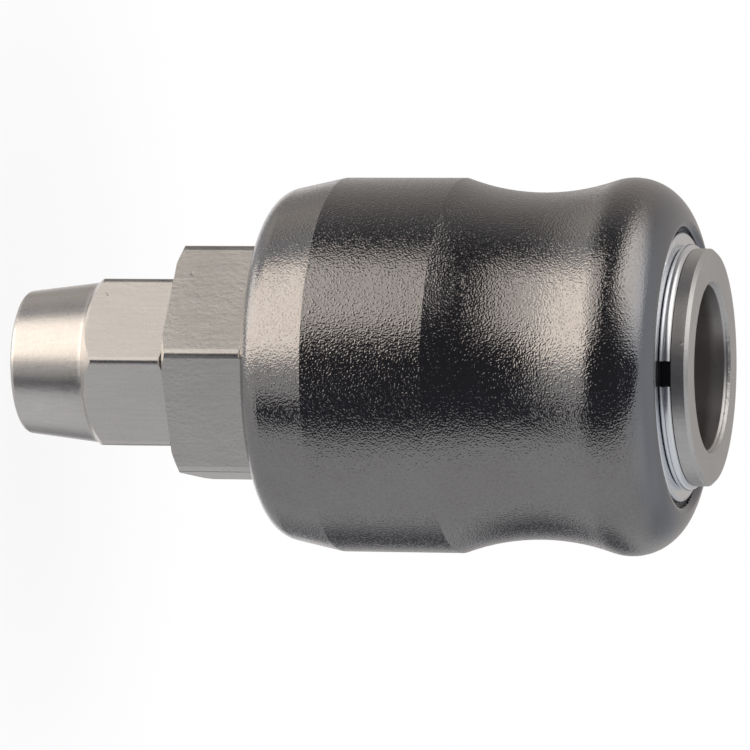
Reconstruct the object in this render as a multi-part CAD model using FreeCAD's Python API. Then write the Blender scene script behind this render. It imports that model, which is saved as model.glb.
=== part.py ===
import FreeCAD
import Part
import math
import os

# Air quick coupler for a soft 8 x 5 mm hose.
# It stands on its hose nut: +Z runs along the axis from the hose end to the plug end,
# and the origin is the centre of the nut's end face. All sizes are in millimetres.

# Hose end
hose_diameter = 8.0
hose_bore = 5.0
hose_entry_gap = 0.15
hose_entry_chamfer = 0.4
hose_entry_length = 2.6

# Hose nut
nut_wall = 1.5
nut_hex_length = 7.4
nut_tail_length = 6.5
nut_tail_wall = 1.47
nut_tail_taper = 7.0
nut_tail_round = 0.45
nut_front_chamfer = 0.3
nut_clock_angle = -1.0
nut_clamp_setback = 0.9
nut_clamp_widening = 0.6
nut_seat_gap = 0.8

# Hose thread: its ridge is added with the finish, so the spigot is drawn at the root
hose_to_thread = 1.5
hose_thread_depth = 0.5
hose_thread_length = 5.4
hose_thread_neck = 0.8
hose_thread_clearance = 0.05

# Barbed stem inside the nut
stem_wall = 0.7
stem_barb_count = 3
stem_barb_height = 0.4
stem_barb_share = 0.8
stem_tip_gap = 0.2
stem_tip_chamfer = 0.35

# Hose adapter
adapter_hex_length = 7.2
adapter_hex_chamfer = 0.45
adapter_hex_inset = 2.45
adapter_clock_angle = -4.1
nut_to_hex_gap = 0.7
spigot_wall = 0.6
spigot_length = 5.2
spigot_tip_gap = 0.3

# Edges shared by both hexagons
hex_corner_round = 0.4
hex_chamfer_slope = math.tan(math.radians(30))

# Socket body
nose_radius = 9.88
nose_wall = 2.98
nose_chamfer = 0.3
socket_entry_widening = 0.3
socket_entry_depth = 0.5
flange_length = 2.8
plug_shoulder_step = 1.3
plug_shoulder_depth = 11.8
valve_chamber_step = 2.1

# Locking balls
ball_count = 8
ball_proud = 0.17
ball_reach = 0.85
ball_release = 0.05
ball_depth = 8.1
ball_hole_clearance = 0.05
ball_lip_depth = 0.55
ball_lip_clearance = 0.1137
ball_belt_relief = 0.3
ball_belt_margin = 0.25
ball_ramp_clearance = 0.04

# Locking sleeve
sleeve_travel = 4.5
sleeve_to_hex_gap = 0.35
sleeve_crest_setback = 2.15
sleeve_rear_round = 2.4
sleeve_rear_face_share = 0.65773
sleeve_chamber_clearance = 0.05
sleeve_slide_clearance = 0.05
sleeve_land_to_balls = 9.6
sleeve_taper_length = 5.85
sleeve_cylinder_radius = 15.72
sleeve_waist_depth = 1.22
sleeve_waist_setback = 12.15
sleeve_bulge_radius = 15.77
sleeve_dome_round = 4.45
sleeve_front_edge_round = 0.5

# Stop ring and snap ring
snap_wire_diameter = 1.0
snap_wire_proud = 0.37
snap_ring_setback = 1.9
snap_gap_width = 2.04
snap_gap_angle = 3.3
snap_groove_clearance = 0.06
stop_ring_width = 1.38
stop_ring_thickness = 0.8
stop_ring_gap = 0.1
stop_ring_round = 0.35
stop_ring_recess_gap = 0.32

# Valve
valve_head_gap = 0.9
valve_head_thickness = 2.6
valve_guide_clearance = 0.1
valve_lip_length = 0.87
valve_crown_length = 3.4
valve_crown_wall = 1.3
valve_port_count = 4
valve_port_radius = 1.2
valve_travel = 4.0
valve_spigot_radius = 3.5
valve_spigot_length = 2.2
valve_port_setback = 0.1
valve_edge_round = 0.3

# Seals: round section, and the gap left between a moving seal and its seat
seal_side_gap = 0.1
plug_seal_section = 2.0
plug_seal_proud = 0.25
plug_seal_land = 1.1
body_seal_section = 1.0
body_seal_setback = 0.8
valve_seal_section = 1.6
valve_seal_hold = 0.4
valve_seat_gap = 0.05

# Springs
wire_flats = 6
sleeve_spring_wire = 1.3
sleeve_spring_turns = 7
sleeve_spring_to_nose = 0.47
sleeve_spring_to_flange = 0.3
valve_spring_wire = 0.8
valve_spring_turns = 8
valve_spring_spare = 1.5
valve_spring_clearance = 0.3
valve_spring_pocket_clearance = 0.4
valve_spring_pocket_sink = 1.17
valve_spring_shelf = 0.9

# How far a cutter runs past the wall that it cuts
cutter_overshoot = 1.0

# Radii that follow the nose, inwards to the plug's tip and outwards to the sleeve
socket_bore_radius = nose_radius - nose_wall
plug_tip_radius = socket_bore_radius - plug_shoulder_step
valve_chamber_radius = plug_tip_radius + valve_chamber_step
spigot_radius = valve_chamber_radius + spigot_wall
sleeve_spring_radius = nose_radius + sleeve_spring_to_nose + sleeve_spring_wire / 2
flange_radius = sleeve_spring_radius + sleeve_spring_wire / 2 + sleeve_spring_to_flange
adapter_across_flats = 2 * (flange_radius - adapter_hex_inset)
stop_ring_radius = nose_radius + stop_ring_width
sleeve_land_radius = nose_radius + sleeve_slide_clearance
sleeve_recess_radius = stop_ring_radius + stop_ring_recess_gap
sleeve_chamber_radius = flange_radius + sleeve_chamber_clearance
sleeve_waist_radius = min(sleeve_cylinder_radius, sleeve_bulge_radius) - sleeve_waist_depth
sleeve_rear_face = sleeve_rear_face_share * (sleeve_cylinder_radius - sleeve_chamber_radius)

# Radii of the hose end
hose_entry_radius = hose_diameter / 2 + hose_entry_gap
hose_thread_radius = hose_diameter / 2 + hose_to_thread
hose_thread_root = hose_thread_radius - hose_thread_depth
nut_across_flats = 2 * (hose_thread_radius + nut_wall)
nut_tail_radius = hose_entry_radius + hose_entry_chamfer + nut_tail_wall

# Radii of the valve and its spring
seal_radius = valve_seal_section / 2
valve_head_radius = valve_chamber_radius - valve_head_gap
valve_crown_radius = plug_tip_radius - valve_guide_clearance
valve_seal_radius = valve_crown_radius - valve_seal_hold + seal_radius
valve_spring_bore = valve_spigot_radius + valve_spring_clearance
valve_spring_radius = valve_spring_bore + valve_spring_wire / 2
valve_spring_pocket_radius = (
    valve_spring_radius + valve_spring_wire / 2 + valve_spring_pocket_clearance)
adapter_bore_radius = valve_spring_bore - valve_spring_shelf

# Heights of the hose end
nut_length = nut_tail_length + nut_hex_length
hex_rear_z = nut_length + nut_to_hex_gap
hex_front_z = hex_rear_z + adapter_hex_length
thread_tip_z = hex_rear_z - hose_thread_length
hose_entry_end_z = hose_entry_chamfer + hose_entry_length
nut_seat_z = thread_tip_z - nut_seat_gap
nut_clamp_end_z = nut_seat_z - nut_clamp_setback
stem_tip_z = hose_entry_end_z + stem_tip_gap
spigot_tip_z = hex_front_z + spigot_length
flange_front_z = hex_front_z + flange_length

# Heights from the valve spring's floor up to the nose
plug_seal_groove = plug_seal_section + 2 * seal_side_gap
body_seal_groove = body_seal_section + 2 * seal_side_gap
body_seal_z = spigot_tip_z - body_seal_setback - body_seal_groove / 2
valve_spring_length = (valve_spring_turns + 1) * valve_spring_wire
valve_spring_length += valve_travel + valve_spring_spare
valve_spring_floor_z = hex_front_z - valve_spring_pocket_sink
valve_head_rear_z = valve_spring_floor_z + valve_spring_length
valve_head_front_z = valve_head_rear_z + valve_head_thickness
valve_seal_z = valve_head_front_z + seal_radius
valve_seal_front_z = valve_seal_z + seal_radius
valve_top_z = valve_seal_front_z + valve_lip_length + valve_crown_length
plug_seal_z = valve_top_z + plug_seal_land + plug_seal_groove / 2
shoulder_z = plug_seal_z + plug_seal_groove / 2 + plug_seal_land + plug_shoulder_step
nose_z = shoulder_z + plug_shoulder_depth
ball_z = nose_z - ball_depth
snap_ring_z = nose_z - snap_ring_setback
stop_ring_front_z = snap_ring_z - snap_wire_diameter / 2
stop_ring_rear_z = stop_ring_front_z - stop_ring_thickness

# Sleeve heights
sleeve_rear_z = hex_front_z + sleeve_to_hex_gap
sleeve_crest_z = nose_z - sleeve_crest_setback
sleeve_chamber_end_z = ball_z - sleeve_land_to_balls
sleeve_waist_z = sleeve_crest_z - sleeve_waist_setback

# Balls: each one spans the nose wall, and leaves the bore by riding up a ramp in the sleeve
ball_radius = (nose_wall + ball_reach + ball_proud) / 2
ball_locked_radius = socket_bore_radius - ball_reach + ball_radius
ball_belt_radius = socket_bore_radius + ball_belt_relief
ball_belt_reach = ball_reach + ball_belt_relief
ball_lip_radius = (math.sqrt(ball_belt_reach * (2 * ball_radius - ball_belt_reach))
                   + ball_lip_clearance)
ball_travel = ball_reach + ball_release
ramp_slope = ball_travel / sleeve_travel
ramp_offset = (ball_radius + ball_ramp_clearance) * math.hypot(1, ramp_slope)
ramp_start_z = ball_z + (sleeve_land_radius - ball_locked_radius - ramp_offset) / ramp_slope

# Valve seat: a 45 degree cone that ends where the plug tip's bore begins
seat_sum = valve_seal_radius + valve_seal_z + math.sqrt(2) * (seal_radius + valve_seat_gap)
seat_front_z = seat_sum - plug_tip_radius
seat_rear_z = seat_sum - valve_chamber_radius


# Drawing helpers

def rounded_corner(before, corner, after, radius):
    """Tangent arc that replaces a sharp corner: its start, middle and end points."""
    to_before = (before - corner).normalize()
    to_after = (after - corner).normalize()
    half_angle = to_before.getAngle(to_after) / 2
    bisector = (to_before + to_after).normalize()
    reach = radius / math.tan(half_angle)
    middle = corner + bisector * (radius / math.sin(half_angle) - radius)
    return corner + to_before * reach, middle, corner + to_after * reach


def closed_face(corners):
    """Face inside a closed outline. A corner is (point, round); a round of None marks
    a point that the arc between its neighbours passes through."""
    starts, ends, arcs = [], [], []
    count = len(corners)
    for index, (point, radius) in enumerate(corners):
        if radius:
            before = corners[index - 1][0]
            after = corners[(index + 1) % count][0]
            start, middle, end = rounded_corner(before, point, after, radius)
            arcs.append(Part.Arc(start, middle, end).toShape())
        else:
            start = end = point
        starts.append(start)
        ends.append(end)
    edges = list(arcs)
    for index in range(count):
        following = (index + 1) % count
        if corners[index][1] is None:
            through = corners[index][0]
            edges.append(Part.Arc(ends[index - 1], through, starts[following]).toShape())
        elif corners[following][1] is not None and ends[index] != starts[following]:
            edges.append(Part.LineSegment(ends[index], starts[following]).toShape())
    wire = Part.Wire(Part.__sortEdges__(edges))
    return Part.Face(wire)


def turned(*outline):
    """Solid turned about Z from corners (radius, height) or (radius, height, round)."""
    corners = []
    for radius, height, *rounding in outline:
        corners.append((FreeCAD.Vector(radius, 0, height), rounding[0] if rounding else 0))
    face = closed_face(corners)
    return face.revolve(FreeCAD.Vector(), FreeCAD.Vector(0, 0, 1), 360)


def ring(centre_radius, section_radius, height):
    """Round-section ring about Z."""
    return Part.makeTorus(centre_radius, section_radius, FreeCAD.Vector(0, 0, height))


def hexagon(across_flats, bottom, top, clock_angle):
    """Hexagon bar with broken corners. A clock angle of 0 puts a corner towards -Y."""
    corner_radius = across_flats / 2 / math.cos(math.radians(30))
    corners = []
    for index in range(6):
        angle = math.radians(270 + clock_angle + 60 * index)
        place = FreeCAD.Vector(math.cos(angle), math.sin(angle), 0) * corner_radius
        corners.append((place + FreeCAD.Vector(0, 0, bottom), hex_corner_round))
    return closed_face(corners).extrude(FreeCAD.Vector(0, 0, top - bottom))


def hex_corner_reach(across_flats):
    """Radius just outside a hexagon's corners."""
    return across_flats / 2 / math.cos(math.radians(30)) + hex_corner_round


def coil(mean_radius, wire_diameter, turns, bottom, top):
    """Coil spring between two heights, its wire drawn with a few flats to keep it light."""
    wire_radius = wire_diameter / 2
    height = top - bottom - wire_diameter
    path = Part.makeHelix(height / turns, height, mean_radius)
    path.translate(FreeCAD.Vector(0, 0, bottom + wire_radius))
    start = path.Edges[0].valueAt(path.Edges[0].FirstParameter)
    along = path.Edges[0].tangentAt(path.Edges[0].FirstParameter)
    outward = FreeCAD.Vector(start.x, start.y, 0).normalize()
    across = along.cross(outward)
    corners = []
    for index in range(wire_flats):
        angle = 2 * math.pi * (index + 0.5) / wire_flats
        offset = outward * math.cos(angle) + across * math.sin(angle)
        corners.append(start + offset * wire_radius)
    section = Part.makePolygon(corners + corners[:1])
    return Part.Wire(path).makePipeShell([section], True, True)


def radial_cutter(profile, height, angle):
    """Cutter turned about a radial line, from (distance from axis, cutter radius) pairs."""
    corners = [(FreeCAD.Vector(profile[0][0], 0, 0), 0)]
    corners += [(FreeCAD.Vector(reach, radius, 0), 0) for reach, radius in profile]
    corners.append((FreeCAD.Vector(profile[-1][0], 0, 0), 0))
    cutter = closed_face(corners).revolve(FreeCAD.Vector(), FreeCAD.Vector(1, 0, 0), 360)
    cutter.rotate(FreeCAD.Vector(), FreeCAD.Vector(0, 0, 1), angle)
    cutter.translate(FreeCAD.Vector(0, 0, height))
    return cutter


# Sub-parts

def hose_nut():
    taper_rise = nut_tail_length * math.tan(math.radians(nut_tail_taper))
    cone_radius = nut_tail_radius + taper_rise
    corner_reach = hex_corner_reach(nut_across_flats)
    shoulder = nut_tail_length + corner_reach - cone_radius
    front_drop = nut_front_chamfer + hex_corner_round * hex_chamfer_slope
    front_radius = corner_reach - front_drop / hex_chamfer_slope
    envelope = turned(
        (0, 0), (nut_tail_radius, 0, nut_tail_round), (cone_radius, nut_tail_length),
        (corner_reach, shoulder), (corner_reach, nut_length - front_drop),
        (front_radius, nut_length), (0, nut_length))
    tail = turned(
        (0, 0), (nut_tail_radius, 0, nut_tail_round), (cone_radius, nut_tail_length),
        (0, nut_tail_length))
    bar = hexagon(nut_across_flats, nut_tail_length, nut_length, nut_clock_angle)
    thread_bore = hose_thread_radius + hose_thread_clearance
    mouth = thread_bore + hose_entry_chamfer
    bore = turned(
        (0, 0), (hose_entry_radius + hose_entry_chamfer, 0),
        (hose_entry_radius, hose_entry_chamfer), (hose_entry_radius, hose_entry_end_z),
        (hose_entry_radius + nut_clamp_widening, nut_clamp_end_z), (thread_bore, nut_seat_z),
        (thread_bore, nut_length - hose_entry_chamfer), (mouth, nut_length), (0, nut_length))
    return envelope.common(bar).fuse(tail).cut(bore)


def hose_adapter():
    stem_radius = hose_bore / 2
    corner_reach = hex_corner_reach(adapter_across_flats)
    end_drop = adapter_hex_chamfer + hex_corner_round * hex_chamfer_slope
    end_radius = corner_reach - end_drop / hex_chamfer_slope
    barb_pitch = (thread_tip_z - stem_tip_z - stem_tip_chamfer) / (stem_barb_count + 1)
    outline = [(0, stem_tip_z), (stem_radius - stem_tip_chamfer, stem_tip_z)]
    for index in range(stem_barb_count):
        foot = stem_tip_z + stem_tip_chamfer + index * barb_pitch
        crest = foot + barb_pitch * stem_barb_share
        outline += [(stem_radius, foot), (stem_radius + stem_barb_height, crest)]
        outline.append((stem_radius, crest))
    neck_radius = hose_thread_root - hose_thread_depth / 2
    outline += [
        (stem_radius, thread_tip_z), (hose_thread_root, thread_tip_z),
        (hose_thread_root, hex_rear_z - hose_thread_neck),
        (neck_radius, hex_rear_z - hose_thread_neck), (neck_radius, hex_rear_z),
        (end_radius, hex_rear_z),
        (corner_reach, hex_rear_z + end_drop), (corner_reach, hex_front_z - end_drop),
        (end_radius, hex_front_z), (spigot_radius, hex_front_z), (spigot_radius, spigot_tip_z),
        (0, spigot_tip_z)]
    bar = hexagon(adapter_across_flats, hex_rear_z, hex_front_z, adapter_clock_angle)
    turning = turned(*outline)
    slab = turned(
        (0, hex_rear_z), (corner_reach, hex_rear_z), (corner_reach, hex_front_z),
        (0, hex_front_z))
    solid = turning.cut(slab.cut(bar))
    stem_bore = stem_radius - stem_wall
    widening_end = hex_rear_z + adapter_bore_radius - stem_bore
    bore = turned(
        (0, stem_tip_z), (stem_bore, stem_tip_z), (stem_bore, hex_rear_z),
        (adapter_bore_radius, widening_end), (adapter_bore_radius, valve_spring_floor_z),
        (valve_spring_pocket_radius, valve_spring_floor_z),
        (valve_spring_pocket_radius, spigot_tip_z), (0, spigot_tip_z))
    groove_half = body_seal_groove / 2
    seal_groove = turned(
        (spigot_radius - body_seal_section, body_seal_z - groove_half),
        (spigot_radius, body_seal_z - groove_half), (spigot_radius, body_seal_z + groove_half),
        (spigot_radius - body_seal_section, body_seal_z + groove_half))
    return solid.cut(bore).cut(seal_groove)


def socket_body():
    groove_half = (snap_wire_diameter + snap_groove_clearance) / 2
    groove_radius = nose_radius + snap_wire_proud - snap_wire_diameter
    seal_half = plug_seal_groove / 2
    seal_groove_radius = plug_tip_radius - plug_seal_proud + plug_seal_section
    entry_radius = socket_bore_radius + socket_entry_widening
    belt_half = ball_lip_radius + ball_belt_margin
    shell = turned(
        (spigot_radius, hex_front_z), (flange_radius, hex_front_z, nose_chamfer),
        (flange_radius, flange_front_z, nose_chamfer), (nose_radius, flange_front_z),
        (nose_radius, snap_ring_z - groove_half), (groove_radius, snap_ring_z - groove_half),
        (groove_radius, snap_ring_z + groove_half), (nose_radius, snap_ring_z + groove_half),
        (nose_radius, nose_z - nose_chamfer), (nose_radius - nose_chamfer, nose_z),
        (entry_radius, nose_z), (socket_bore_radius, nose_z - socket_entry_depth),
        (socket_bore_radius, ball_z + belt_half), (ball_belt_radius, ball_z + belt_half),
        (ball_belt_radius, ball_z - belt_half), (socket_bore_radius, ball_z - belt_half),
        (socket_bore_radius, shoulder_z), (plug_tip_radius, shoulder_z - plug_shoulder_step),
        (plug_tip_radius, plug_seal_z + seal_half),
        (seal_groove_radius, plug_seal_z + seal_half),
        (seal_groove_radius, plug_seal_z - seal_half),
        (plug_tip_radius, plug_seal_z - seal_half), (plug_tip_radius, seat_front_z),
        (valve_chamber_radius, seat_rear_z),
        (valve_chamber_radius, spigot_tip_z + spigot_tip_gap),
        (spigot_radius, spigot_tip_z + spigot_tip_gap))
    hole_radius = ball_radius + ball_hole_clearance
    hole_profile = [
        (socket_bore_radius - ball_lip_depth, ball_lip_radius),
        (ball_belt_radius, ball_lip_radius),
        (ball_belt_radius + ball_lip_depth, hole_radius),
        (nose_radius + cutter_overshoot, hole_radius)]
    for index in range(ball_count):
        shell = shell.cut(radial_cutter(hole_profile, ball_z, ball_angle(index)))
    return shell


def ball_angle(index):
    return 360 / ball_count * (index + 0.5)


def ball(index):
    angle = math.radians(ball_angle(index))
    place = FreeCAD.Vector(math.cos(angle), math.sin(angle), 0) * ball_locked_radius
    return Part.makeSphere(ball_radius, place + FreeCAD.Vector(0, 0, ball_z))


def sleeve():
    dome_radius = sleeve_bulge_radius - sleeve_dome_round
    dome_z = sleeve_crest_z - sleeve_dome_round
    waist_to_dome_z = dome_z - sleeve_waist_z
    waist_to_dome_radius = dome_radius - sleeve_waist_radius
    waist_round = waist_to_dome_radius ** 2 + waist_to_dome_z ** 2 - sleeve_dome_round ** 2
    waist_round /= 2 * (sleeve_dome_round + waist_to_dome_radius)
    waist_centre = sleeve_waist_radius + waist_round
    meeting = sleeve_dome_round / (sleeve_dome_round + waist_round)
    dome_start = (
        dome_radius + (waist_centre - dome_radius) * meeting,
        dome_z + (sleeve_waist_z - dome_z) * meeting)
    waist_rise = sleeve_cylinder_radius - sleeve_waist_radius
    cylinder_front_z = sleeve_waist_z - math.sqrt(2 * waist_round * waist_rise - waist_rise ** 2)
    edge = sleeve_front_edge_round
    edge_centre_r = sleeve_recess_radius + edge
    edge_rise = math.sqrt((sleeve_dome_round - edge) ** 2 - (edge_centre_r - dome_radius) ** 2)
    edge_z = dome_z + edge_rise
    dome_share = sleeve_dome_round / (sleeve_dome_round - edge)
    dome_end = (dome_radius + (edge_centre_r - dome_radius) * dome_share,
                dome_z + edge_rise * dome_share)
    dome_end_angle = math.atan2(edge_rise, edge_centre_r - dome_radius)
    dome_middle = (dome_radius + sleeve_dome_round * math.cos(dome_end_angle / 2),
                   dome_z + sleeve_dome_round * math.sin(dome_end_angle / 2))
    edge_middle_angle = (dome_end_angle + math.pi) / 2
    edge_middle = (edge_centre_r + edge * math.cos(edge_middle_angle),
                   edge_z + edge * math.sin(edge_middle_angle))
    rear_corner = sleeve_chamber_radius + sleeve_rear_face
    rear_round = min(sleeve_rear_round, sleeve_rear_face)
    taper_front_z = sleeve_rear_z + sleeve_taper_length
    ramp_end = sleeve_land_radius + ramp_slope * (stop_ring_rear_z - ramp_start_z)
    return turned(
        (sleeve_chamber_radius, sleeve_rear_z), (rear_corner, sleeve_rear_z, rear_round),
        (sleeve_cylinder_radius, taper_front_z), (sleeve_cylinder_radius, cylinder_front_z),
        (sleeve_waist_radius, sleeve_waist_z, None), dome_start, (*dome_middle, None), dome_end,
        (*edge_middle, None), (sleeve_recess_radius, edge_z),
        (sleeve_recess_radius, stop_ring_rear_z), (ramp_end, stop_ring_rear_z),
        (sleeve_land_radius, ramp_start_z), (sleeve_land_radius, sleeve_chamber_end_z),
        (sleeve_chamber_radius, sleeve_chamber_end_z))


def sleeve_spring():
    return coil(sleeve_spring_radius, sleeve_spring_wire, sleeve_spring_turns,
                flange_front_z, sleeve_chamber_end_z)


def stop_ring():
    inner = nose_radius + stop_ring_gap
    edge_round = min(stop_ring_round, 0.45 * stop_ring_thickness)
    return turned(
        (inner, stop_ring_rear_z), (stop_ring_radius, stop_ring_rear_z),
        (stop_ring_radius, stop_ring_front_z, edge_round), (inner, stop_ring_front_z))


def snap_ring():
    wire_radius = snap_wire_diameter / 2
    centre_radius = nose_radius + snap_wire_proud - wire_radius
    half_gap = math.degrees(math.asin(snap_gap_width / 2 / centre_radius))
    section = Part.Wire(Part.makeCircle(
        wire_radius, FreeCAD.Vector(centre_radius, 0, snap_ring_z), FreeCAD.Vector(0, 1, 0)))
    wire = Part.Face(section).revolve(
        FreeCAD.Vector(), FreeCAD.Vector(0, 0, 1), 360 - 2 * half_gap)
    wire.rotate(FreeCAD.Vector(), FreeCAD.Vector(0, 0, 1), 270 + snap_gap_angle + half_gap)
    return wire


def valve():
    seal_floor = valve_seal_radius - seal_radius
    crown_bore = valve_crown_radius - valve_crown_wall
    lip_front_z = valve_seal_front_z + valve_lip_length
    solid = turned(
        (0, valve_head_rear_z - valve_spigot_length),
        (valve_spigot_radius, valve_head_rear_z - valve_spigot_length, valve_edge_round),
        (valve_spigot_radius, valve_head_rear_z),
        (valve_head_radius, valve_head_rear_z, valve_edge_round),
        (valve_head_radius, valve_head_front_z, valve_edge_round),
        (seal_floor, valve_head_front_z), (seal_floor, valve_seal_front_z),
        (valve_crown_radius, valve_seal_front_z),
        (valve_crown_radius, valve_top_z, valve_edge_round), (crown_bore, valve_top_z),
        (crown_bore, lip_front_z), (0, lip_front_z))
    port_z = lip_front_z + valve_port_radius + valve_port_setback
    profile = [
        (crown_bore - cutter_overshoot, valve_port_radius),
        (valve_crown_radius + cutter_overshoot, valve_port_radius)]
    for index in range(valve_port_count):
        solid = solid.cut(radial_cutter(profile, port_z, 360 / valve_port_count * index))
    return solid


def valve_spring():
    return coil(valve_spring_radius, valve_spring_wire, valve_spring_turns,
                valve_spring_floor_z, valve_head_rear_z)


def plug_seal():
    radius = plug_seal_section / 2
    return ring(plug_tip_radius - plug_seal_proud + radius, radius, plug_seal_z)


def body_seal():
    radius = body_seal_section / 2
    return ring(spigot_radius - radius, radius, body_seal_z)


def valve_seal():
    return ring(valve_seal_radius, seal_radius, valve_seal_z)


# Write one file per sub-part

os.makedirs("parts", exist_ok=True)
sub_parts = {
    "hose_nut": hose_nut(),
    "hose_adapter": hose_adapter(),
    "body_seal": body_seal(),
    "socket_body": socket_body(),
    "plug_seal": plug_seal(),
    "valve": valve(),
    "valve_seal": valve_seal(),
    "valve_spring": valve_spring(),
    "sleeve": sleeve(),
    "sleeve_spring": sleeve_spring(),
    "stop_ring": stop_ring(),
    "snap_ring": snap_ring(),
}
for index in range(ball_count):
    sub_parts[f"ball_{index + 1}"] = ball(index)
for name, shape in sub_parts.items():
    shape.exportStep(os.path.join("parts", f"{name}.step"))
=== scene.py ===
import math

import bmesh
import bpy
from mathutils import Matrix, Vector

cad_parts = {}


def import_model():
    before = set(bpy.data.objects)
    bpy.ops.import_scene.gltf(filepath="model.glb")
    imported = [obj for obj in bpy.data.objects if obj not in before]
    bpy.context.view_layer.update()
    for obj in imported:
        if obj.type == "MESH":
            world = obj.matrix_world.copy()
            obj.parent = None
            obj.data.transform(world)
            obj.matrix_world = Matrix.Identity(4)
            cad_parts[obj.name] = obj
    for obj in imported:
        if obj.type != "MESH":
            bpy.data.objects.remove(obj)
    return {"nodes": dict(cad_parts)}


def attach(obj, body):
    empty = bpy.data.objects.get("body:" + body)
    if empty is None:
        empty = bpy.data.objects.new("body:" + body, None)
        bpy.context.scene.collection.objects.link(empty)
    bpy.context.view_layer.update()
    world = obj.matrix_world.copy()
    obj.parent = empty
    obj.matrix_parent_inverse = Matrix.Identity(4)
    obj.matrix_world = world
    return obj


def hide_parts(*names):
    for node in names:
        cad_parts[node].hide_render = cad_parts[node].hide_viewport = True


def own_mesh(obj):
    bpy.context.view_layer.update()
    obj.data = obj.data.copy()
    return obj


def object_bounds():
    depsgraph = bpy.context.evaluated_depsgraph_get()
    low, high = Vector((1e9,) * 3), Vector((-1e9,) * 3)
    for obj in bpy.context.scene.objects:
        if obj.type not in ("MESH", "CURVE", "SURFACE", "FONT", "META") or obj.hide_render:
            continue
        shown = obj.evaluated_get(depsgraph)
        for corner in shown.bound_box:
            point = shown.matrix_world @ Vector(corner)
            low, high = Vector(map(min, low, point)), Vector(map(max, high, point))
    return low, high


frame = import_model()
cad_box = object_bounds()
MM = 0.001


# Shader nodes written as plain sums

class Value:
    """A shader socket that can be added, multiplied and mixed like a number."""

    def __init__(self, tree, socket):
        self.tree = tree
        self.socket = socket

    def math(self, operation, *others):
        return node(self.tree, "ShaderNodeMath", {"operation": operation}, [self, *others])

    def __add__(self, other):
        return self.math("ADD", other)

    def __radd__(self, other):
        return self.math("ADD", other)

    def __sub__(self, other):
        return self.math("SUBTRACT", other)

    def __rsub__(self, other):
        return node(self.tree, "ShaderNodeMath", {"operation": "SUBTRACT"}, [other, self])

    def __mul__(self, other):
        return self.math("MULTIPLY", other)

    def __rmul__(self, other):
        return self.math("MULTIPLY", other)

    def ramp(self, low, high, start=0.0, end=1.0):
        """Smooth step from start to end as the value goes from low to high."""
        return node(self.tree, "ShaderNodeMapRange", {"interpolation_type": "SMOOTHSTEP"},
                    [self, low, high, start, end])

    def window(self, centre, half, soft):
        """1 inside centre +- half, fading to 0 over the soft edge."""
        away = (self - centre).math("ABSOLUTE")
        return away.ramp(half - soft, half + soft, 1.0, 0.0)


def node(tree, kind, settings=None, inputs=(), output=0):
    """Adds a node. inputs is a list of values in socket order, or a dict by name or index, and output
    names the socket that is handed back, or is a tuple of them."""
    made = tree.nodes.new(kind)
    for key, value in (settings or {}).items():
        setattr(made, key, value)
    pairs = inputs.items() if isinstance(inputs, dict) else enumerate(inputs)
    for key, value in pairs:
        if isinstance(value, Value):
            tree.links.new(value.socket, made.inputs[key])
        else:
            made.inputs[key].default_value = value
    if not made.outputs:
        return None
    if isinstance(output, tuple):
        return [Value(tree, made.outputs[key]) for key in output]
    return Value(tree, made.outputs[output])


def mix_colour(tree, share, first, second):
    return node(tree, "ShaderNodeMix", {"data_type": "RGBA"}, {0: share, 6: first, 7: second}, 2)


def rgb(red, green, blue):
    return (red, green, blue, 1.0)


def place(tree):
    """The point in the object's own coordinates, in metres."""
    return node(tree, "ShaderNodeTexCoord", output="Object")


def split(tree, vector):
    return node(tree, "ShaderNodeSeparateXYZ", {}, [vector], (0, 1, 2))


def from_axis(x, y):
    """The distance from the coupler's axis."""
    return (x * x + y * y).math("SQRT")


def scaled(tree, vector, factors):
    return node(tree, "ShaderNodeVectorMath", {"operation": "MULTIPLY"}, [vector, factors])


def noise(tree, vector, scale, detail=2.0, roughness=0.5):
    """Noise with scale swells to the metre."""
    return node(tree, "ShaderNodeTexNoise", {}, {"Vector": vector, "Scale": scale, "Detail": detail,
                                                 "Roughness": roughness})


def turning_rings(tree, height, scale, detail=2.0, roughness=0.5):
    """Noise along one line only, which leaves rings where the height is the same."""
    line = node(tree, "ShaderNodeCombineXYZ", {}, [height, 0.0, 0.0])
    return noise(tree, line, scale, detail, roughness)


def bump(tree, height, distance):
    return node(tree, "ShaderNodeBump", {}, {"Height": height, "Distance": distance, "Strength": 1.0})


def new_material(name):
    material = bpy.data.materials.new(name)
    material.use_nodes = True
    tree = material.node_tree
    return material, tree, tree.nodes["Principled BSDF"]


def connect(tree, shader, **sockets):
    for name, value in sockets.items():
        socket = shader.inputs[name.replace("_", " ")]
        if isinstance(value, Value):
            tree.links.new(value.socket, socket)
        else:
            socket.default_value = value


# Satin nickel: turned parts with fine rings, hexagon flats with drawn lines, small dents and stains

# a hexagon's worn skin drops until this far from where its sharp corner would be
corner_gap = 0.14 * MM
# the height on the real part that a bump height of 1 stands for
bump_unit = 0.004 * MM


def dented(tree, point, grain):
    """A few small handling marks of uneven outline, by depth from 0 to 1."""
    distance, cell = node(tree, "ShaderNodeTexVoronoi", {}, {"Vector": point, "Scale": 560.0},
                          ("Distance", "Color"))
    away = distance + (grain - 0.5) * 0.35
    chosen, depth, _ = split(tree, cell)
    return away.ramp(0.0, 0.17, 1.0, 0.0) * chosen.ramp(0.72, 0.76) * depth


def worn_corners(radius, half_flats, width, depth):
    """How far a hexagon's skin drops towards its worn corners."""
    along = (radius * radius - half_flats ** 2).math("MAXIMUM", 0.0).math("SQRT")
    edge = half_flats / math.sqrt(3) - corner_gap
    return along.ramp(edge - width, edge, 0.0, depth)


def scuffed_mouth(radius, peel, grain, centre, half):
    return radius.window(centre, half, 0.05 * MM) * (peel * 12.0 + grain * 8.0)


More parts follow.
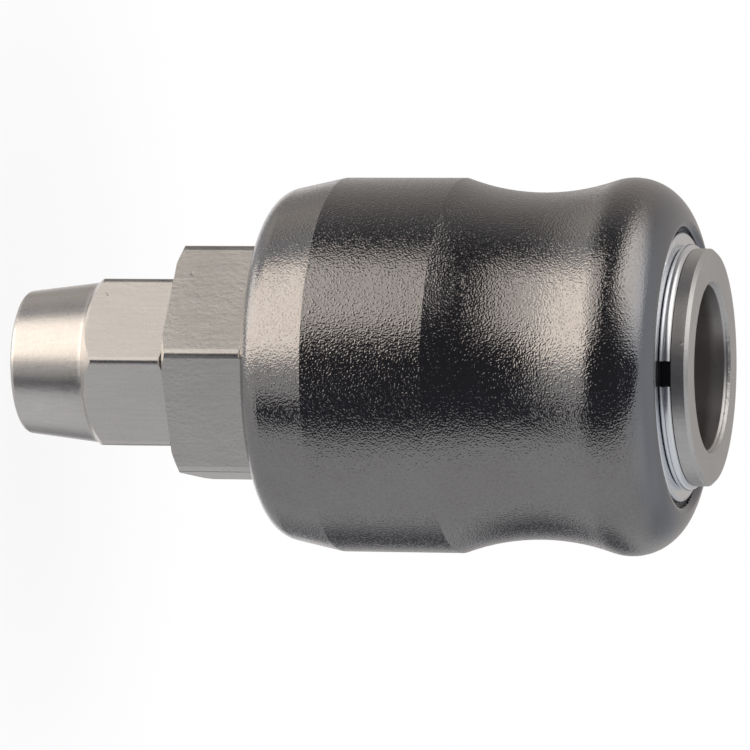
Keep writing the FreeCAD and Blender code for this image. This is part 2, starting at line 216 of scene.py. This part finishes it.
def oily_mark(tree, paint, point, peel, middle, reach):
    """A thin smear of oil, broken up by the skin's unevenness."""
    off = node(tree, "ShaderNodeVectorMath", {"operation": "DISTANCE"}, [point, middle], 1)
    share = off.ramp(reach * 0.3, reach, 0.30, 0.0) * peel.ramp(0.36, 0.56)
    return mix_colour(tree, share, paint, rgb(0.33, 0.32, 0.32))


# painted shade: darkens the wall inside the bore, where the bore shades what it reflects
def painted_bore_shade(tree, paint, radius, bore_radius):
    share = radius.ramp(bore_radius, bore_radius + 0.06 * MM, 0.6, 0.0)
    return mix_colour(tree, share, paint, rgb(0.350, 0.318, 0.310))


# painted shade: colours the groove that holds the snap ring near black, where shadow falls
def painted_groove_shade(tree, paint, z, radius, middle, half, middle_radius, half_depth):
    share = z.window(middle, half, 0.05 * MM) * radius.window(middle_radius, half_depth, 0.03 * MM)
    return mix_colour(tree, share, paint, rgb(0.05, 0.05, 0.055))


def nickel(name, colour, shade, rough, ring_depth, pebble=1.0, corner=None, flare=None, mouth=None,
           smear=None, bore=None, groove=None):
    """Heights are in units of bump_unit. corner, mouth, smear and groove hold the sizes that the
    functions above ask for, flare the ramp of a slope, and bore the radius inside which the bore's
    wall gets painted shade."""
    material, tree, shader = new_material(name)
    point = place(tree)
    x, y, z = split(tree, point)
    radius = from_axis(x, y)
    # the rings follow the height on the sides and the radius on the ends
    ring_place = z + radius * 0.9
    rings = turning_rings(tree, ring_place, scale=5200.0, roughness=0.6)
    slow_rings = turning_rings(tree, ring_place, scale=900.0, detail=1.0)
    drawn = noise(tree, scaled(tree, point, (1.0, 1.0, 0.06)), scale=4200.0)
    peel = noise(tree, scaled(tree, point, (1.0, 1.0, 0.7)), scale=2900.0, roughness=0.6)
    grain = noise(tree, point, scale=5200.0, roughness=0.6)
    cloud = noise(tree, point, scale=260.0, detail=3.0, roughness=0.6)
    stain = noise(tree, point, scale=70.0, detail=1.0)
    dents = dented(tree, point, grain)
    height = (rings * ring_depth + slow_rings * ring_depth * 1.6 + grain * 0.6 + drawn * 0.8
              + peel * cloud.ramp(0.35, 0.65, pebble, pebble * 2.2) - dents * 7.0)
    tone = ((cloud - 0.5) * 0.9 + (stain - 0.5) * 0.8 + (grain - 0.5) * 0.9 + (drawn - 0.5) * 0.6
            + 0.5 - dents * 0.5)
    paint = mix_colour(tree, tone.math("MAXIMUM", 0.0).math("MINIMUM", 1.0), shade, colour)
    if corner:
        height = height - worn_corners(radius, **corner)
    if flare:
        height = height + z.ramp(**flare)
    if mouth:
        height = height + scuffed_mouth(radius, peel, grain, **mouth)
    if smear:
        paint = oily_mark(tree, paint, point, peel, **smear)
    # painted shade inside the bore
    if bore:
        paint = painted_bore_shade(tree, paint, radius, bore)
    # painted shade in the snap ring's groove
    if groove:
        paint = painted_groove_shade(tree, paint, z, radius, **groove)
    connect(tree, shader,
            Base_Color=paint,
            Metallic=1.0,
            Roughness=rough + (cloud - 0.5) * 0.12 + (grain - 0.5) * 0.08,
            Normal=bump(tree, height, bump_unit))
    return material


# Black nickel over a blasted surface: a smooth film that follows a coarse orange peel

def black_sleeve():
    material, tree, shader = new_material("black_sleeve_blasted")
    point = place(tree)
    z = split(tree, point)[2]
    grit = noise(tree, point, scale=6300.0, detail=0.0)
    swell = noise(tree, point, scale=9500.0, detail=0.0)
    speck = noise(tree, point, scale=4200.0, detail=1.0, roughness=0.6)
    cloud = noise(tree, point, scale=260.0)
    patch = noise(tree, point, scale=70.0, detail=1.0)
    # the taper was turned finer than the rest, and the front dome is worn smooth by handling
    taper_end = 27.4 * MM
    dome_start = 54.6 * MM
    strength = (z.ramp(taper_end, taper_end + 0.8 * MM, 0.62, 1.0)
                * z.ramp(dome_start, dome_start + 1.7 * MM, 1.0, 0.35))
    # the highest grains stand out a little more than the others
    grains = grit * 0.62 + swell * 0.28 + grit.ramp(0.60, 0.80, 0.0, 0.20)
    tone = cloud * 0.35 + patch * 0.25 + (speck - 0.3) * 0.8
    film = mix_colour(tree, tone, rgb(0.250, 0.234, 0.225), rgb(0.372, 0.364, 0.359))
    dome = z.ramp(dome_start, dome_start + 2.0 * MM)
    connect(tree, shader,
            Base_Color=mix_colour(tree, dome, film, rgb(0.247, 0.252, 0.269)),
            Metallic=1.0,
            Roughness=0.080 + (cloud - 0.5) * 0.04,
            Normal=bump(tree, grains * strength, 0.039 * MM))
    return material


# The other finishes

def bright_ring():
    material, tree, shader = new_material("bright_zinc_ring")
    point = place(tree)
    x, y, z = split(tree, point)
    rings = turning_rings(tree, z + from_axis(x, y), scale=6000.0)
    cloud = noise(tree, point, scale=500.0)
    connect(tree, shader,
            Base_Color=mix_colour(tree, cloud, rgb(0.90, 0.92, 0.945), rgb(0.96, 0.975, 0.99)),
            Metallic=1.0, Roughness=0.20 + cloud * 0.10, Normal=bump(tree, rings, 0.003 * MM))
    return material


def ball_steel():
    material, tree, shader = new_material("polished_ball_steel")
    point = place(tree)
    cloud = noise(tree, point, scale=900.0)
    connect(tree, shader,
            Base_Color=mix_colour(tree, cloud, rgb(0.66, 0.66, 0.67), rgb(0.74, 0.74, 0.75)),
            Metallic=1.0, Roughness=0.07 + cloud * 0.05)
    return material


def spring_wire():
    material, tree, shader = new_material("drawn_spring_wire")
    point = place(tree)
    cloud = noise(tree, point, scale=1200.0, detail=3.0)
    lines = noise(tree, scaled(tree, point, (0.3, 0.3, 2.5)), scale=5200.0)
    connect(tree, shader,
            Base_Color=mix_colour(tree, cloud, rgb(0.46, 0.46, 0.46), rgb(0.62, 0.62, 0.61)),
            Metallic=1.0, Roughness=0.28 + cloud * 0.12, Normal=bump(tree, lines, 0.004 * MM))
    return material


def valve_brass():
    material, tree, shader = new_material("turned_brass")
    point = place(tree)
    x, y, z = split(tree, point)
    rings = turning_rings(tree, z + from_axis(x, y) * 0.8, scale=5200.0)
    cloud = noise(tree, point, scale=420.0, detail=3.0)
    connect(tree, shader,
            Base_Color=mix_colour(tree, cloud, rgb(0.60, 0.43, 0.19), rgb(0.78, 0.60, 0.31)),
            Metallic=1.0, Roughness=0.24 + cloud * 0.14, Normal=bump(tree, rings, 0.006 * MM))
    return material


def seal_rubber():
    material, tree, shader = new_material("nitrile_rubber")
    point = place(tree)
    cloud = noise(tree, point, scale=700.0, detail=3.0)
    grain = noise(tree, point, scale=6000.0)
    connect(tree, shader,
            Base_Color=mix_colour(tree, cloud, rgb(0.018, 0.018, 0.019), rgb(0.040, 0.040, 0.041)),
            Roughness=0.45 + cloud * 0.2, Normal=bump(tree, grain, 0.006 * MM))
    return material


nickel_body = nickel("satin_nickel_adapter", colour=rgb(0.775, 0.753, 0.715),
                     shade=rgb(0.580, 0.560, 0.530), rough=0.32, ring_depth=0.6, pebble=2.1,
                     corner={"half_flats": 9.5 * MM, "width": 0.36 * MM, "depth": 8.0})
nickel_nut = nickel("satin_nickel_nut", colour=rgb(0.800, 0.765, 0.725),
                    shade=rgb(0.620, 0.590, 0.560), rough=0.29, ring_depth=0.5,
                    corner={"half_flats": 7.0 * MM, "width": 0.25 * MM, "depth": 5.0},
                    flare={"low": 6.2 * MM, "high": 7.0 * MM, "end": 16.0},
                    smear={"middle": (1.9 * MM, -6.7 * MM, 5.6 * MM), "reach": 1.7 * MM})
nickel_nose = nickel("turned_nickel_nose", colour=rgb(0.730, 0.720, 0.705),
                     shade=rgb(0.545, 0.535, 0.520), rough=0.36, ring_depth=1.6,
                     flare={"low": 57.4 * MM, "high": 59.5 * MM, "end": -56.0},
                     mouth={"centre": 7.32 * MM, "half": 0.28 * MM}, bore=6.91 * MM,
                     groove={"middle": 57.4 * MM, "half": 0.52 * MM,
                             "middle_radius": 9.37 * MM, "half_depth": 0.46 * MM})
spring_finish = spring_wire()
ring_finish = bright_ring()
ball_finish = ball_steel()
rubber = seal_rubber()
finishes = {
    "hose_nut": nickel_nut, "hose_adapter": nickel_body, "socket_body": nickel_nose,
    "sleeve": black_sleeve(), "valve": valve_brass(),
    "sleeve_spring": spring_finish, "valve_spring": spring_finish,
    "stop_ring": ring_finish, "snap_ring": ring_finish,
    "body_seal": rubber, "plug_seal": rubber, "valve_seal": rubber,
}
finishes.update({f"ball_{index}": ball_finish for index in range(1, 9)})
for name, cad in frame["nodes"].items():
    for material_slot in cad.material_slots:
        material_slot.material = finishes[name]


# Pieces that the solids only stand in for: round spring wire and the hose thread's ridge

sides_per_turn = 64
wire_sides = 16


def helix(name, section, centre_radius, turns, bottom, top):
    """A section, given as (outward, upward) points, wound from bottom to top."""
    mesh = bmesh.new()
    corners = [mesh.verts.new((centre_radius + out, 0.0, bottom + up)) for out, up in section]
    edges = [mesh.edges.new((corners[index - 1], corners[index])) for index in range(len(corners))]
    steps = round(turns * sides_per_turn)
    bmesh.ops.spin(mesh, geom=corners + edges, cent=(0, 0, 0), axis=(0, 0, 1),
                   dvec=(0, 0, (top - bottom) / steps), angle=2 * math.pi * turns,
                   steps=steps, use_merge=False, use_duplicate=False)
    bmesh.ops.holes_fill(mesh, edges=[edge for edge in mesh.edges if edge.is_boundary], sides=0)
    bmesh.ops.recalc_face_normals(mesh, faces=mesh.faces)
    data = bpy.data.meshes.new(name)
    mesh.to_mesh(data)
    mesh.free()
    for face in data.polygons:
        face.use_smooth = len(face.vertices) == 4
    made = bpy.data.objects.new(name, data)
    bpy.context.scene.collection.objects.link(made)
    return made


def closed_ends(height, bottom, top, wire, turns):
    """The height of the wire's middle when the first and last turns lie on their neighbours."""
    share = (height - bottom) / (top - bottom) * turns
    open_pitch = (top - bottom - 2 * wire) / (turns - 2)
    if share < 1:
        return bottom + wire * share
    if share > turns - 1:
        return top - wire * (turns - share)
    return bottom + wire + open_pitch * (share - 1)


def spring(name, body, fixed_z, moving_z, mean_radius, wire, turns):
    """A coil of round wire with closed ends."""
    half = wire / 2
    angles = [2 * math.pi * index / wire_sides for index in range(wire_sides)]
    circle = [(half * math.cos(angle), half * math.sin(angle)) for angle in angles]
    bottom = fixed_z + half
    top = moving_z - half
    coil = helix(name + "_round_wire", circle, mean_radius, turns, bottom, top)
    steps = len(coil.data.vertices) // wire_sides - 1
    for index, vertex in enumerate(coil.data.vertices):
        plain = bottom + (top - bottom) * (index // wire_sides) / steps
        vertex.co.z += closed_ends(plain, bottom, top, wire, turns) - plain
    coil.data.materials.append(spring_finish)
    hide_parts(name)
    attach(coil, body)
    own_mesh(coil)


def hose_thread():
    """The ridge of the thread that the nut runs on, which fades in and out at its ends."""
    root_radius = 5.0 * MM
    sunk = 0.05 * MM
    ridge_height = 0.43 * MM
    half_foot = 0.46 * MM
    half_crest = 0.10 * MM
    turns = 3.6
    fading_turns = 0.4
    section = [(-sunk, -half_foot), (ridge_height, -half_crest), (ridge_height, half_crest),
               (-sunk, half_foot)]
    thread = helix("hose_thread", section, root_radius, turns, bottom=9.7 * MM, top=13.3 * MM)
    foot = root_radius - sunk
    for index, vertex in enumerate(thread.data.vertices):
        turn = (index // len(section)) / sides_per_turn
        share = min(1.0, turn / fading_turns, (turns - turn) / fading_turns)
        out = Vector((vertex.co.x, vertex.co.y, 0))
        wanted = foot + (out.length - foot) * max(share, 0.0)
        vertex.co.x = out.x * wanted / out.length
        vertex.co.y = out.y * wanted / out.length
    thread.data.materials.append(nickel_body)
    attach(thread, "root")


spring("sleeve_spring", "spring_carriage", fixed_z=24.6 * MM, moving_z=41.6 * MM,
       mean_radius=11.0 * MM, wire=1.3 * MM, turns=9)
spring("valve_spring", "valve", fixed_z=20.63 * MM, moving_z=33.33 * MM,
       mean_radius=4.2 * MM, wire=0.8 * MM, turns=10)
hose_thread()


# Floor, studio and camera

def seen_directly(tree):
    """1 for rays from the camera, and for what metal or glass shows, else 0."""
    from_camera, from_metal, from_glass = node(
        tree, "ShaderNodeLightPath", output=("Is Camera Ray", "Is Glossy Ray", "Is Transmission Ray"))
    return from_camera.math("MAXIMUM", from_metal).math("MAXIMUM", from_glass)


def floor_disc():
    """Pale floor that fades into the white background, keeps the part's soft shadow and can be
    seen through from below."""
    radius = 60 * MM
    # a hair under the nut's end face, so that the two don't share a plane
    floor_z = -0.05 * MM
    mesh = bmesh.new()
    bmesh.ops.create_circle(mesh, cap_ends=True, segments=96, radius=radius,
                            matrix=Matrix.Translation((0, 0, floor_z)))
    data = bpy.data.meshes.new("floor")
    mesh.to_mesh(data)
    mesh.free()
    disc = bpy.data.objects.new("floor", data)
    bpy.context.scene.collection.objects.link(disc)
    disc.visible_glossy = False
    material = bpy.data.materials.new("pale_floor")
    material.use_nodes = True
    tree = material.node_tree
    tree.nodes.clear()
    reach = node(tree, "ShaderNodeVectorMath", {"operation": "LENGTH"}, [place(tree)], 1)
    # near the part a little of the matt floor shows, and its shadow with it
    share = seen_directly(tree) * reach.ramp(10 * MM, radius - 2 * MM, 0.91, 1.0)
    matt = node(tree, "ShaderNodeBsdfDiffuse", {}, {"Color": rgb(0.8, 0.8, 0.8)})
    white = node(tree, "ShaderNodeEmission", {}, {"Color": rgb(1, 1, 1), "Strength": 1.0})
    both = node(tree, "ShaderNodeMixShader", {}, [share, matt, white])
    clear = node(tree, "ShaderNodeBsdfTransparent", {}, {"Color": rgb(1, 1, 1)})
    below = node(tree, "ShaderNodeNewGeometry", output="Backfacing")
    floor = node(tree, "ShaderNodeMixShader", {}, [below, both, clear])
    node(tree, "ShaderNodeOutputMaterial", {}, {"Surface": floor})
    disc.data.materials.append(material)


# Studio light by direction: colour, then the middle, half width and soft edge in degrees round the
# part (from the camera side towards -X), and the same for the height
studio_base = rgb(0.528, 0.536, 0.554)
studio_lights = [
    ("warm wall above and behind", rgb(0.450, 0.425, 0.410), 150, 48, 12, 4, 40, 16),
    ("pale wall above the nut", rgb(0.660, 0.630, 0.600), 114, 14, 6, -30, 9, 4),
    ("shade under the front", rgb(0.385, 0.392, 0.406), -152, 17, 7, 24, 12, 8),
    ("pale wall under the front", rgb(0.630, 0.635, 0.640), -104, 24, 10, 62, 14, 8),
    ("shade under the part", rgb(0.120, 0.120, 0.135), -138, 17, 9, -13, 10, 6),
    ("grey floor before the camera", rgb(0.600, 0.600, 0.605), -15, 31, 4, 0, 120, 10),
    ("dark floor beside the camera", rgb(0.050, 0.050, 0.064), -35, 10, 3, -33, 14, 3),
    ("dark room beside the camera", rgb(0.050, 0.050, 0.064), -12, 32, 3, 46, 73, 5),
    ("dark room above the camera", rgb(0.040, 0.040, 0.048), 44, 68, 41, 9, 36, 12),
    ("soft box towards the hose end", rgb(2.12, 1.93, 1.75), 39, 34, 8, -57, 31, 5),
    ("spill of that box", rgb(1.06, 1.00, 0.95), 45, 25, 6, -16, 13, 6),
    ("soft box towards the plug end", rgb(1.40, 1.35, 1.31), 80, 37, 20, 51, 27, 12),
    ("glow under the hose end", rgb(2.1, 2.0, 1.9), 91, 32, 38, -74, 18, 4),
    ("rim light from behind", rgb(0.95, 0.93, 0.93), 178, 23, 5, -32, 16, 5),
]


def studio():
    """A tent of light round the part, which the camera itself doesn't see."""
    mesh = bmesh.new()
    bmesh.ops.create_icosphere(mesh, subdivisions=5, radius=1.5)
    data = bpy.data.meshes.new("studio_tent")
    mesh.to_mesh(data)
    mesh.free()
    for face in data.polygons:
        face.use_smooth = True
    tent = bpy.data.objects.new("studio_tent", data)
    bpy.context.scene.collection.objects.link(tent)
    tent.visible_camera = False
    tent.visible_shadow = False
    material = bpy.data.materials.new("studio_light")
    material.use_nodes = True
    tree = material.node_tree
    tree.nodes.clear()
    direction = node(tree, "ShaderNodeVectorMath", {"operation": "NORMALIZE"}, [place(tree)])
    x, y, z = split(tree, direction)
    around = (x * -1.0).math("ARCTAN2", y * -1.0) * math.degrees(1)
    height = z.math("ARCSINE") * math.degrees(1)
    colour = studio_base
    for _, light, middle, half, soft, up, up_half, up_soft in studio_lights:
        # the angle from the light's middle, from -180 to 180
        turned = (around - middle + 540.0).math("FLOORED_MODULO", 360.0) - 180.0
        share = turned.window(0.0, half, soft) * height.window(up, up_half, up_soft)
        colour = mix_colour(tree, share, colour, light)
    lamp = node(tree, "ShaderNodeEmission", {}, {"Color": colour, "Strength": 1.0})
    node(tree, "ShaderNodeOutputMaterial", {}, {"Surface": lamp})
    tent.data.materials.append(material)


def world():
    scene = bpy.context.scene
    scene.world = scene.world or bpy.data.worlds.new("white_background")
    scene.world.use_nodes = True
    tree = scene.world.node_tree
    tree.nodes.clear()
    back = node(tree, "ShaderNodeBackground", {}, {"Color": rgb(1, 1, 1),
                                                   "Strength": seen_directly(tree)})
    node(tree, "ShaderNodeOutputWorld", {}, {"Surface": back})


def camera():
    """Looks at the part from -Y with its axis lying across the picture, plug end to the right."""
    tilt = math.radians(14.8)
    roll = math.radians(0.5)
    distance = 620 * MM
    part_middle = (cad_box[0][2] + cad_box[1][2]) / 2
    aim_right = 0.64 * MM
    aim_down = 0.87 * MM
    towards = Vector((0, -math.cos(tilt), math.sin(tilt)))
    along = Vector((0, math.sin(tilt), math.cos(tilt)))
    across = Vector((-1, 0, 0))
    right = along * math.cos(roll) + across * math.sin(roll)
    up = across * math.cos(roll) - along * math.sin(roll)
    aim = Vector((0, 0, part_middle)) + right * aim_right - up * aim_down
    data = bpy.data.cameras.new("camera")
    data.sensor_width = 36.0
    data.lens = 354.1
    data.clip_start = 0.05
    data.clip_end = 10.0
    made = bpy.data.objects.new("camera", data)
    bpy.context.scene.collection.objects.link(made)
    frame_matrix = Matrix((right, up, towards)).transposed().to_4x4()
    frame_matrix.translation = aim + towards * distance
    made.matrix_world = frame_matrix
    bpy.context.scene.camera = made


floor_disc()
studio()
world()
camera()
bpy.context.scene.view_settings.view_transform = "Standard"
